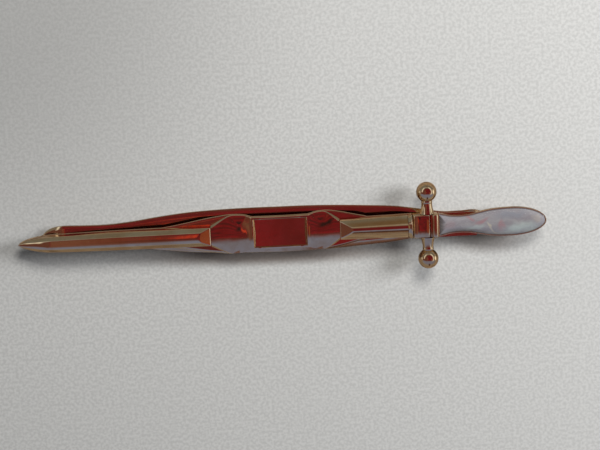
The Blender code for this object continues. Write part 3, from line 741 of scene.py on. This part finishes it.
class TIECLIP_OT_guard(bpy.types.Operator):
    """Build the guard block with its domed panel, its groove and its end ridge"""

    bl_idname = "tieclip.guard"
    bl_label = "Guard block"

    def execute(self, context):
        dome = context.scene.tie_clip_sizes.panel_dome / MM
        low, high = GUARD_LOW, GUARD_HIGH
        xs = np.concatenate([
            low[0] + 0.25 * np.linspace(0, 1, 10), np.linspace(low[0] + 0.3, high[0] - 1.3, 40),
            np.linspace(high[0] - 1.28, high[0], 70)])
        back = xs - high[0]
        bead = np.sqrt(np.clip(1.0 - ((back + 0.42) / 0.4) ** 2, 0.0, 1.0))
        panel = 0.0 * xs - dome * 0.3 * ((back + 2.4) / 1.15) ** 2
        groove = ease((back + 1.28) / 0.14) * (1.0 - ease((back + 0.9) / 0.1))
        level = np.where(back < -1.05, panel - 0.3 * groove, -0.3 + 0.28 * bead)
        level = np.where(back < -0.83, np.minimum(level, panel - 0.3 * groove), level)
        inward = 1.0 - np.clip((xs - low[0]) / 0.22, 0, 1)
        level = level - 0.22 * (1.0 - np.sqrt(1.0 - inward**2))
        width = high[1]
        share = np.linspace(1.0, -1.0, 61)
        crown = np.where(back < -1.05, 0.3 * dome, 0.10)
        fall = crown[:, None] * np.abs(share) ** 2.4 + 0.10 * np.clip((np.abs(share) - 0.93) / 0.07, 0, 1) ** 2
        oval = (((back + 2.3) / 1.1)[:, None] ** 4 + share**4) ** 0.5
        pillow = 0.5 * dome * np.minimum(oval, 1.6) ** 1.6 * (back < -1.05)[:, None]
        z = high[2] + level[:, None] - fall - pillow
        y = np.broadcast_to(width * share, z.shape)
        foot = np.broadcast_to(np.array([width, low[2]]), (len(xs), 1, 2))
        waist = np.stack([np.full((len(xs), 1), width), z[:, :1] * 0.6 + low[2] * 0.4], -1)
        side = np.concatenate([foot, waist], 1)
        sections = np.concatenate([side, np.stack([y, z], -1), side[:, ::-1] * np.array([-1.0, 1.0])], 1)
        shell = skin(carried_along(xs, sections))
        make_piece("guard", [shell], "sword", ["guard_block"], polished(context))
        return {"FINISHED"}


class TIECLIP_OT_finials(bpy.types.Operator):
    """Turn the two ball finials with their flared necks"""

    bl_idname = "tieclip.finials"
    bl_label = "Ball finials"

    def execute(self, context):
        radius = (BALL_HIGH[0] - BALL_LOW[0]) / 2
        centre = ((BALL_LOW[0] + BALL_HIGH[0]) / 2, (BALL_LOW[2] + BALL_HIGH[2]) / 2)
        foot, middle = BALL_LOW[1], BALL_HIGH[1] - radius
        neck = 0.76
        meet = middle - math.sqrt(radius**2 - neck**2)
        t = np.linspace(0.0, 1.0, 26)
        neck_radius = neck + 0.29 * (1.0 - t) ** 2.4 + 0.05 * np.exp(-((t - 0.9) / 0.06) ** 2)
        a = np.linspace(math.pi - math.asin((neck + 0.02) / radius), 0.0, 60)
        profile = np.concatenate([
            [(1e-5, foot)], np.stack([neck_radius, foot + (meet - foot) * t], -1),
            np.stack([radius * np.sin(a[1:-1]), middle + radius * np.cos(a[1:-1])], -1),
            [(1e-5, middle + radius)]])
        for name, node, side in (("far_finial", "finial_far", 1.0), ("near_finial", "finial_near", -1.0)):
            shell = skin(turned(profile, 96, centre, side))
            make_piece(name, [shell], "sword", [node], polished(context))
        return {"FINISHED"}


class TIECLIP_OT_tray(bpy.types.Operator):
    """Build the grip's gold tray with its rolled bezel"""

    bl_idname = "tieclip.tray"
    bl_label = "Grip tray"

    def execute(self, context):
        wall = context.scene.tie_clip_sizes.bezel / MM
        low, high = TRAY_LOW[2], TRAY_HIGH[2]
        over = np.linspace(0.0, np.pi, 9)
        roll = np.stack([wall / 2 * (1 - np.cos(over)), high - 0.1 + 0.1 * np.sin(over)], -1)
        profile = np.concatenate([
            [(0.12, low), (0.04, low + 0.03), (0.0, low + 0.12), (0.0, high - 0.3)], roll,
            [(wall, high - 0.3), (wall, low + 0.3), (wall + 0.06, low + 0.25)]])
        rings = [np.concatenate([grip_outline(inset), np.full((239, 1), z)], -1) for inset, z in profile]
        make_piece("tray", [skin(np.stack(rings))], "sword", ["grip_tray"], polished(context))
        return {"FINISHED"}


class TIECLIP_OT_inlay(bpy.types.Operator):
    """Build the polished mother-of-pearl inlay, domed from its edge to its middle line"""

    bl_idname = "tieclip.inlay"
    bl_label = "Pearl inlay"

    def execute(self, context):
        wall = context.scene.tie_clip_sizes.bezel / MM
        low, high = PEARL_LOW[2], PEARL_HIGH[2]
        rim = TRAY_HIGH[2]
        edge = grip_outline(wall + 0.03)
        spine = np.stack([np.clip(edge[:, 0], 23.7, 35.9), 0.0 * edge[:, 0]], -1)
        share = np.linspace(0.0, 1.0, 24)[:, None, None]
        flat = edge + (spine - edge) * share
        height = rim - 0.06 + (high - rim + 0.06) * (1.0 - (1.0 - share) ** 2.6)
        dome = np.concatenate([flat, np.broadcast_to(height, flat.shape[:2] + (1,))], -1)
        under = [np.concatenate([edge, np.full((len(edge), 1), z)], -1) for z in (low, rim - 0.25)]
        pale, rose, green = (0.27, 0.26, 0.265), (0.28, 0.15, 0.16), (0.36, 0.41, 0.39)
        cream, blue = (0.40, 0.36, 0.29), (0.18, 0.195, 0.225)
        body = tuple(context.scene.tie_clip_colours.pearl)
        finish = pearl_finish("Mother-of-pearl", (body, pale, rose, green, cream, blue))
        shell = skin(np.concatenate([np.stack(under), dome]), ends=(True, False))
        make_piece("pearl", [shell], "sword", ["pearl_inlay"], finish)
        return {"FINISHED"}


class TIECLIP_OT_hinge(bpy.types.Operator):
    """Finish the bracket, turn the riveted pin and wind the torsion spring"""

    bl_idname = "tieclip.hinge"
    bl_label = "Hinge"

    def execute(self, context):
        satin = gold_finish("Satin gold", context.scene.tie_clip_colours, 0.16, 1.4, 0.6)
        bracket = frame["nodes"]["hinge_bracket"]
        bracket.data.materials.clear()
        bracket.data.materials.append(satin)
        reach = PIN_HIGH[1]
        quarter = np.linspace(0.0, np.pi / 2, 9)
        head = np.stack([0.46 * np.sin(quarter), reach - 0.14 + 0.14 * np.cos(quarter)], -1)
        head[0, 0] = 1e-5
        half_pin = np.concatenate([head, [(0.46, reach - 0.145), (0.35, reach - 0.15), (0.35, 0.4)]])
        profile = np.concatenate([half_pin, half_pin[::-1] * np.array([1.0, -1.0])])
        pin = skin(turned(profile, 40, (PIVOT[0], PIVOT[2])))
        make_piece("pin", [pin], "sword", ["hinge_pin"], steel(context))
        make_piece("spring", [skin(self.wire())], "sword", ["torsion_spring"], steel(context))
        return {"FINISHED"}

    def wire(self):
        """A round wire along its route: a straight leg under the bracket, three and a half turns round the pin that
        step evenly sideways, and a leg on the arm's tail. The ring at each point stands square to the route."""
        radius, half, leg, thick = 0.54, 0.435, 2.6, 0.13
        turn = np.linspace(0.0, 1.0, 170)
        angle = math.pi / 2 + 2.0 * math.pi * 3.5 * turn
        sideways = -half + 2 * half * turn
        coil = np.stack([PIVOT[0] + radius * np.cos(angle), sideways, PIVOT[2] + radius * np.sin(angle)], -1)
        out = np.linspace(1.0, 0.04, 24)[:, None]
        first = coil[0] + out * np.array([leg, 0.0, 0.0])
        last = coil[-1] + out[::-1] * np.array([leg, 0.0, 0.0])
        route = np.concatenate([first, coil, last])
        ahead = np.gradient(route, axis=0)
        ahead /= np.linalg.norm(ahead, axis=-1, keepdims=True)
        side = np.cross(ahead, np.cross(np.array([0.0, 1.0, 0.0]), ahead))
        side /= np.linalg.norm(side, axis=-1, keepdims=True)
        up = np.cross(ahead, side)
        a = 2.0 * np.pi * np.arange(14)[None, :, None] / 14
        return route[:, None] + thick * (np.cos(a) * side[:, None] + np.sin(a) * up[:, None])


class TIECLIP_OT_arm(bpy.types.Operator):
    """Build the back arm: curled lip, strip, leaf, tail and its two hinge ears"""

    bl_idname = "tieclip.arm"
    bl_label = "Back arm"
    tail = 1.05  # half width of the tail, and the radius of its end

    def half_width(self, x):
        """Straight-sided leaf and strip, a lip rounded to a point and a half-round tail."""
        strip = [(LIP_START, 1.8), (-28.4, 1.69), (-25.5, 1.66), (-22.5, 1.86), (-18.0, 2.44), (-14.0, 2.9)]
        leaf = [(-9.0, 3.2), (-2.5, 3.35), (5.0, 3.3), (12.0, 2.95), (17.0, 2.55), (21.5, 1.78), (23.5, 1.47)]
        end = [(26.0, 1.45), (28.5, 1.43), (29.2, 1.2), (29.7, 1.06), (31.0, self.tail)]
        straight = drawn_through(strip + leaf + end, x)
        across = np.clip((LIP_START - x) / (LIP_START - ARM_LOW[0]), 0.0, 1.0)
        lip = np.maximum(1.8 * (1.0 - across**2.2) ** 0.7, 0.3)
        beyond = np.clip((x - ARM_HIGH[0] + self.tail) / self.tail, 0.0, 1.0)
        tail = np.maximum(self.tail * np.sqrt(1.0 - beyond**2), 0.25)
        return np.where(x < LIP_START, lip, np.where(x > ARM_HIGH[0] - self.tail, tail, straight))

    def upper(self, x):
        """Flat under the hilt, climbing as a parabola to touch the front plate, then curling down at the lip."""
        rise, run = PLATE_LOW[2] - 0.05 - SHEET, RISE_START - LIP_START
        reach = (RISE_START - np.clip(x, LIP_START, RISE_START)) / run
        past = np.maximum(LIP_START - x, 0.0)
        curl = np.minimum(past, 1.6)
        slope, fall = 2.0 * rise / run, 0.42
        return SHEET + rise * reach**2 + slope * curl - (slope + fall) * curl**2 / 3.2 - fall * (past - curl)

    def ear(self, y0, y1):
        """A flat ear with its bore: rings round the bore carried from the bore's wall out over the face to the
        outline and back over the other face. The outline is a circle about the pin that widens to a foot on the
        tail."""
        a = 2.0 * np.pi * np.arange(72) / 72
        bore = np.stack([0.4 * np.cos(a), 0.4 * np.sin(a)], -1)
        root = 0.32 - PIVOT[2]
        reach = np.where(np.sin(a) < -0.55, root / np.minimum(np.sin(a), -0.3), 0.66)
        reach = np.minimum(reach, 1.25)
        outline = np.stack([reach * np.cos(a), np.maximum(reach * np.sin(a), root)], -1)
        near_edge, worn = bore + 0.96 * (outline - bore), 0.03 * np.sign(y1 - y0)
        rings = (
            (bore, y0), (near_edge, y0), (outline, y0 + worn), (outline, y1 - worn), (near_edge, y1), (bore, y1))
        return np.stack([
            np.stack([PIVOT[0] + flat[:, 0], np.full(72, y), PIVOT[2] + flat[:, 1]], -1) for flat, y in rings])

    def execute(self, context):
        end, lip = ARM_HIGH[0], LIP_START - ARM_LOW[0]
        xs = np.concatenate([
            ARM_LOW[0] + lip * np.linspace(0.0, 1.0, 40) ** 1.6, np.linspace(LIP_START + 0.1, RISE_START, 110),
            np.linspace(RISE_START + 0.2, 23.5, 110), np.linspace(23.8, end - self.tail - 0.05, 60),
            end - self.tail + self.tail * np.sin(np.linspace(0.0, np.pi / 2, 26))])
        half = self.half_width(xs)
        centre = 0.0165 * np.maximum(-xs, 0.0)
        edge = np.minimum(np.minimum(0.12 + 0.19 * half, 0.75), 0.5 * half)
        top = self.upper(xs)
        drop = edge * 0.4
        bottom = top - SHEET
        corners = np.stack([
            np.stack([centre - half, bottom], -1), np.stack([centre - half, top - drop], -1),
            np.stack([centre - half + edge, top], -1), np.stack([centre + half - edge, top], -1),
            np.stack([centre + half, top - drop], -1), np.stack([centre + half, bottom], -1)], 1)
        sections = rounded(corners, [0.06, 0.06, 0.09, 0.09, 0.06, 0.06], 5)
        worn = gold_finish("Arm gold", context.scene.tie_clip_colours, 0.10, 1.3, 1.4)
        shells = [skin(carried_along(xs, sections))]
        for side in (-1.0, 1.0):
            shells.append(skin(self.ear(side * 1.05, side * 1.38), rings_meet=True))
        make_piece("arm", shells, "arm", ["back_arm", "arm_strip"], worn)
        return {"FINISHED"}


# ---------------------------------------------------------------- stage


def soft_light(name, place, aim, size, power, colour):
    """A rectangular soft light aimed at a point; it lights surfaces but is not itself mirrored."""
    data = bpy.data.lights.new(name, "AREA")
    data.shape = "RECTANGLE"
    data.size, data.size_y = size
    data.energy = power
    data.color = colour
    lamp = bpy.data.objects.new(name, data)
    bpy.context.scene.collection.objects.link(lamp)
    lamp.location = place
    lamp.rotation_mode = "QUATERNION"
    lamp.rotation_quaternion = (Vector(aim) - Vector(place)).to_track_quat("-Z", "Y")
    lamp.visible_glossy = False
    lamp.visible_camera = False


def room_finish():
    """What polished metal mirrors, as soft-edged patches by direction: a plain grey room with coloured cards in it,
    an orange-red flare and a pale ring. Angle "over" runs from straight up towards +Y, "along" towards +X."""
    material = bpy.data.materials.new("Room")
    material.use_nodes = True
    tree = material.node_tree
    tree.nodes.clear()
    place = put(tree, "ShaderNodeTexCoord").outputs["Object"]
    aim = put(tree, "ShaderNodeVectorMath", {0: place}, operation="NORMALIZE").outputs[0]
    x, y, z = put(tree, "ShaderNodeSeparateXYZ", {0: aim}).outputs
    degrees = math.degrees(1.0)
    over = worked(tree, "MULTIPLY", worked(tree, "ARCTAN2", y, z), degrees)
    along = worked(tree, "MULTIPLY", worked(tree, "ARCSINE", x), degrees)
    drift = noise(tree, mapped(tree, aim, (3.2, 2.2, 1.0)), 1.0, detail=2.0)
    over = worked(tree, "ADD", over, worked(tree, "MULTIPLY_ADD", drift, 18.0, -9.0))
    sway = noise(tree, mapped(tree, aim, (1.5, 4.5, 1.0), shift=(5.0, 1.0, 0.0)), 1.0, detail=2.0)
    along = worked(tree, "ADD", along, worked(tree, "MULTIPLY_ADD", sway, 2.4, -1.2))

    def card(over_from, over_to, along_from, along_to, soft):
        """1 inside a range of both angles, easing to 0 across soft degrees at each side."""
        share = ranged(tree, over, over_from - soft, over_from + soft)
        share = worked(tree, "MULTIPLY", share, ranged(tree, over, over_to - soft, over_to + soft, 1.0, 0.0))
        share = worked(tree, "MULTIPLY", share, ranged(tree, along, along_from - soft, along_from + soft))
        return worked(tree, "MULTIPLY", share, ranged(tree, along, along_to - soft, along_to + soft, 1.0, 0.0))

    streaks = noise(tree, mapped(tree, aim, (5.0, 14.0, 3.0)), 1.0, detail=3.0)
    red = mixed(tree, ranged(tree, streaks, 0.35, 0.65), (0.085, 0.017, 0.021, 1.0), (0.20, 0.017, 0.026, 1.0))
    tone = mixed(tree, ranged(tree, y, -1.0, 1.0), (0.27, 0.26, 0.25, 1.0), (0.17, 0.175, 0.17, 1.0))
    for colour, edges, strength in (
        ((0.19, 0.22, 0.38, 1.0), (-68.0, -19.0, -62.0, 62.0, 5.0), 1.0),  # pale blue, near side
        ((0.15, 0.075, 0.05, 1.0), (-86.0, -52.0, 1.8, 14.0, 0.9), 0.9),  # brown, low on the near side
        ((0.04, 0.026, 0.024, 1.0), (-78.0, -58.0, 1.8, 14.0, 3.0), 0.85),  # dark streak in it
        ((0.15, 0.10, 0.055, 1.0), (50.0, 80.0, 1.4, 14.0, 6.0), 0.9),  # olive, low on the far side
        ((0.12, 0.055, 0.04, 1.0), (-22.0, 54.0, -30.0, 66.0, 6.0), 0.8),  # brown border of the red
        (red, (-20.0, 45.0, -24.0, 62.0, 7.0), 1.0),  # deep red, overhead
        ((0.13, 0.062, 0.045, 1.0), (-22.0, 18.0, -17.0, -7.0, 5.0), 0.4),  # brown veil over its left part
        ((0.22, 0.13, 0.09, 1.0), (-22.0, 30.0, -18.0, -11.5, 5.0), 0.6),  # tan edge of the veil
        ((0.13, 0.055, 0.045, 1.0), (-26.0, 40.0, -74.0, -21.0, 5.0), 1.0),  # red-brown, left
        ((0.27, 0.09, 0.045, 1.0), (-22.0, 2.0, 27.0, 40.0, 4.0), 0.75),  # orange, right
        ((0.02, 0.016, 0.018, 1.0), (5.0, 16.0, -4.0, 4.0, 3.0), 0.95),  # dark spot, overhead
        ((1.0, 1.05, 1.05, 1.0), (-30.0, 84.0, -89.0, -77.0, 4.0), 0.8),  # window, far left
        ((1.2, 1.22, 1.2, 1.0), (-75.0, 75.0, 72.0, 88.0, 4.0), 1.0),  # window, far right
    ):
        tone = mixed(tree, card(*edges), tone, colour, strength)
    slant = worked(tree, "MULTIPLY_ADD", over, -0.06, worked(tree, "ADD", along, 6.0))
    flare = worked(tree, "POWER", worked(tree, "DIVIDE", worked(tree, "SUBTRACT", over, 3.0), 9.0), 2.0)
    flare = worked(tree, "ADD", flare, worked(tree, "POWER", worked(tree, "DIVIDE", slant, 1.1), 2.0))
    tone = mixed(tree, ranged(tree, flare, 0.0, 2.6, 0.8, 0.0), tone, (0.66, 0.075, 0.04, 1.0))
    top = {0: aim, 1: (0.035, 0.087, 0.995)}
    from_top = put(tree, "ShaderNodeVectorMath", top, operation="DOT_PRODUCT").outputs["Value"]
    away = worked(tree, "MULTIPLY", worked(tree, "ARCCOSINE", from_top), degrees)
    ring = worked(tree, "MULTIPLY", ranged(tree, away, 44.0, 53.0), ranged(tree, away, 55.0, 64.0, 1.0, 0.0))
    sideways = worked(tree, "ABSOLUTE", along)
    ring = worked(tree, "MULTIPLY", ring, ranged(tree, sideways, 12.0, 30.0, 0.25, 1.0))
    ring = worked(tree, "MULTIPLY", ring, ranged(tree, over, -40.0, -20.0))
    left, low = ranged(tree, along, -20.0, -10.0, 1.0, 0.0), ranged(tree, over, 4.0, 16.0, 1.0, 0.0)
    low_left = worked(tree, "MULTIPLY", left, low)
    ring = worked(tree, "MULTIPLY", ring, worked(tree, "SUBTRACT", 1.0, low_left))
    tone = mixed(tree, ring, tone, (0.80, 0.84, 0.86, 1.0))
    glow = put(tree, "ShaderNodeEmission", {"Color": tone, "Strength": 1.0})
    output = put(tree, "ShaderNodeOutputMaterial")
    tree.links.new(glow.outputs[0], output.inputs["Surface"])
    material.cycles.emission_sampling = "NONE"
    return material


class TIECLIP_OT_stage(bpy.types.Operator):
    """Set the pale table, the mirrored room, the soft lights and the camera"""

    bl_idname = "tieclip.stage"
    bl_label = "Stage"

    def execute(self, context):
        scene = context.scene
        scene.view_settings.view_transform = "Standard"
        self.table(scene)
        self.room(scene)
        self.lights(scene)
        self.camera(scene)
        return {"FINISHED"}

    def table(self, scene):
        """A flat sheet under the arm, with a fine paper-like tooth, a painted darker far corner where the light
        falls off and painted brown shadows along the arm and under the grip. Metal mirrors a darker, warmer sheet,
        painted shade that stands in for the shaded table round the clip."""
        mesh = bpy.data.meshes.new("table")
        half = 0.6
        corners = [(-half, -half, 0.0), (half, -half, 0.0), (half, half, 0.0), (-half, half, 0.0)]
        mesh.from_pydata(corners, [], [(0, 1, 2, 3)])
        table = bpy.data.objects.new("table", mesh)
        scene.collection.objects.link(table)
        table.location.z = -0.00001
        material = bpy.data.materials.new("Table")
        material.use_nodes = True
        tree = material.node_tree
        shader = tree.nodes["Principled BSDF"]
        red, green, blue = scene.tie_clip_colours.table
        full, faint, fine, dark = [(red * k, green * k, blue * k, 1.0) for k in (1.0, 0.97, 0.84, 0.45)]
        place = in_millimetres(tree)
        tooth = noise(tree, place, 0.42, detail=2.0)
        tone = mixed(tree, ranged(tree, noise(tree, place, 30.0), 0.3, 0.7, 0.0, 0.5), full, faint)
        tone = mixed(tree, ranged(tree, tooth, 0.35, 0.65), tone, fine)
        # Painted shade: the far corner darkened, as where the light falls off.
        tone = mixed(tree, spot(tree, place, (-46.0, 40.0), (60.0, 52.0)), tone, dark, 0.5)
        # Painted shadows: brown patches under the arm and under the grip.
        for middle, reach, strength in (((-2.0, -3.6), (27.0, 2.3), 0.75), ((30.0, -3.2), (7.0, 2.6), 0.4)):
            tone = mixed(tree, spot(tree, place, middle, reach, -1.0), tone, (0.14, 0.095, 0.07, 1.0), strength)
        # Painted shade in reflections: glossy rays see a darker, warmer sheet, standing in for the shaded table
        # near the clip.
        mirrored = put(tree, "ShaderNodeLightPath").outputs["Is Glossy Ray"]
        patches = ranged(tree, noise(tree, place, 5.0), 0.35, 0.65)
        warm = mixed(tree, patches, (0.34, 0.27, 0.20, 1.0), (0.12, 0.085, 0.06, 1.0))
        tone = mixed(tree, mirrored, tone, warm, 0.9)
        tree.links.new(tone, shader.inputs["Base Color"])
        shader.inputs["Roughness"].default_value = 0.7
        bumped(tree, shader, tooth, 4e-6, 0.4)
        mesh.materials.append(material)

    def room(self, scene):
        """A dome round everything, seen only in mirror-like surfaces: rings of a half circle turned about Z."""
        up = np.linspace(-0.02, np.pi / 2 - 1e-3, 40)[:, None]
        round_z = (2.0 * np.pi * np.arange(96) / 96)[None, :]
        level = np.broadcast_arrays(np.cos(up) * np.cos(round_z), np.cos(up) * np.sin(round_z), np.sin(up))
        points, faces, _ = skin(0.55 * np.stack(level, -1), ends=(False, True))
        mesh = bpy.data.meshes.new("room")
        mesh.from_pydata(points, [], faces)
        mesh.shade_smooth()
        mesh.materials.append(room_finish())
        room = bpy.data.objects.new("room", mesh)
        scene.collection.objects.link(room)
        room.visible_camera = room.visible_diffuse = room.visible_transmission = False
        room.visible_shadow = room.visible_volume_scatter = False

    def lights(self, scene):
        """Weak even sky light, a broad soft light from the right and one from above the far side."""
        world = bpy.data.worlds.new("Studio")
        world.use_nodes = True
        world.node_tree.nodes["Background"].inputs["Color"].default_value = (0.98, 1.0, 1.03, 1.0)
        world.node_tree.nodes["Background"].inputs["Strength"].default_value = 0.11
        scene.world = world
        soft_light("Key", (0.30, 0.07, 0.17), (0.01, 0.0, 0.0), (0.12, 0.12), 1.15, (0.97, 0.99, 1.02))
        soft_light("Above", (0.07, 0.19, 0.23), (0.0, 0.0, 0.0), (0.13, 0.09), 0.60, (1.0, 0.985, 0.955))

    def camera(self, scene):
        """Looking almost straight down, a little from beyond, with the sword rising slightly to the right."""
        data = bpy.data.cameras.new("Camera")
        data.sensor_width = 36.0
        data.lens = 75.2
        data.clip_start, data.clip_end = 0.01, 5.0
        camera = bpy.data.objects.new("Camera", data)
        scene.collection.objects.link(camera)
        tilt, roll, far = math.radians(10.0), math.radians(2.85), 0.180
        aim = Vector((0.00262, 0.00095, 0.0029))
        back = Vector((0.0, math.sin(tilt), math.cos(tilt)))
        up = Vector((0.0, math.cos(tilt), -math.sin(tilt)))
        right = up.cross(back)
        turned_right = right * math.cos(roll) - up * math.sin(roll)
        turned_up = right * math.sin(roll) + up * math.cos(roll)
        place = aim + back * far
        rows = [(turned_right[i], turned_up[i], back[i], place[i]) for i in range(3)]
        camera.matrix_world = Matrix(rows + [(0.0, 0.0, 0.0, 1.0)])
        scene.camera = camera


# ---------------------------------------------------------------- panel and running


PIECES = (
    TIECLIP_OT_arm, TIECLIP_OT_plate, TIECLIP_OT_blade, TIECLIP_OT_sunk_panel, TIECLIP_OT_short_bar,
    TIECLIP_OT_collar, TIECLIP_OT_guard, TIECLIP_OT_finials, TIECLIP_OT_tray, TIECLIP_OT_inlay, TIECLIP_OT_hinge,
    TIECLIP_OT_stage)


class TIECLIP_PT_panel(bpy.types.Panel):
    """Lists the clip's sizes, colours and pieces"""

    bl_label = "Sword Tie Clip"
    bl_idname = "TIECLIP_PT_panel"
    bl_space_type = "VIEW_3D"
    bl_region_type = "UI"
    bl_category = "Tie Clip"

    def draw(self, context):
        for group in (context.scene.tie_clip_sizes, context.scene.tie_clip_colours):
            box = self.layout.box()
            for name in group.__annotations__:
                box.prop(group, name)
        for piece in PIECES:
            self.layout.operator(piece.bl_idname)


CLASSES = (TieClipSizes, TieClipColours, *PIECES, TIECLIP_PT_panel)


def register():
    """Make the sizes, the colours, the operators and the panel known."""
    for cls in CLASSES:
        bpy.utils.register_class(cls)
    bpy.types.Scene.tie_clip_sizes = PointerProperty(type=TieClipSizes)
    bpy.types.Scene.tie_clip_colours = PointerProperty(type=TieClipColours)


def unregister():
    """Take back what register made known."""
    del bpy.types.Scene.tie_clip_sizes, bpy.types.Scene.tie_clip_colours
    for cls in reversed(CLASSES):
        bpy.utils.unregister_class(cls)


def main():
    """Build every piece and the stage."""
    register()
    bpy.ops.tieclip.arm()
    bpy.ops.tieclip.plate()
    bpy.ops.tieclip.blade()
    bpy.ops.tieclip.sunk_panel()
    bpy.ops.tieclip.short_bar()
    bpy.ops.tieclip.collar()
    bpy.ops.tieclip.guard()
    bpy.ops.tieclip.finials()
    bpy.ops.tieclip.tray()
    bpy.ops.tieclip.inlay()
    bpy.ops.tieclip.hinge()
    bpy.ops.tieclip.stage()


if __name__ == "__main__":
    main()
